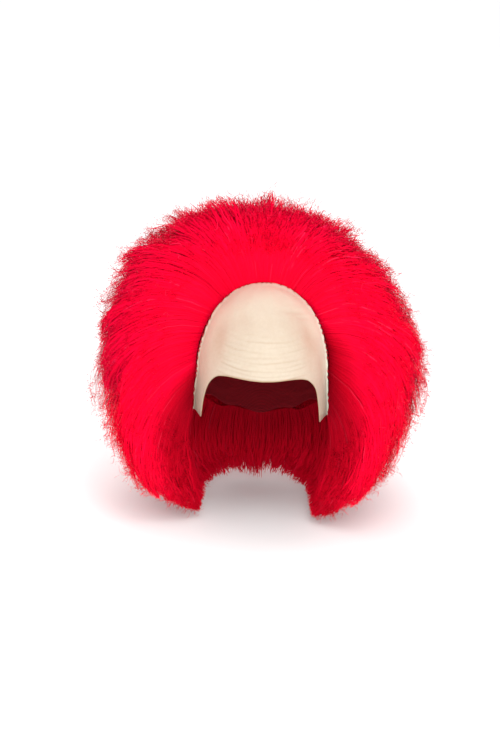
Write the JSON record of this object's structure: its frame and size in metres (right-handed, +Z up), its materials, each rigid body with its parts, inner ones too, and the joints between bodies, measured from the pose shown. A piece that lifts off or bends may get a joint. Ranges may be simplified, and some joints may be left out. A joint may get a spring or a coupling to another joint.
{
  "type": "clown wig",
  "caption": "Clown wig with a moulded bald latex forehead and long frizzy hair round the crown, sides and back, worn over the head.",
  "frame": {"origin": "the point on the inside of the wig that rests on the crown of the head", "axes": "+Z up, the face looks towards -Y, and +X is the wearer's left"},
  "size_m": [0.3756, 0.2983, 0.3614],
  "materials": {
    "latex": "matt cream latex, softly gathered along the hairline",
    "cap_fabric": "dark red stretch knit",
    "hair": "frizzy bright red synthetic fibre with a soft sheen"
  },
  "bodies": {
    "root": {"bald_front": "latex", "wig_cap": "cap_fabric", "hair_crown": "hair", "hair_left": "hair", "hair_right": "hair", "hair_back": "hair"}
  },
  "joints": []
}
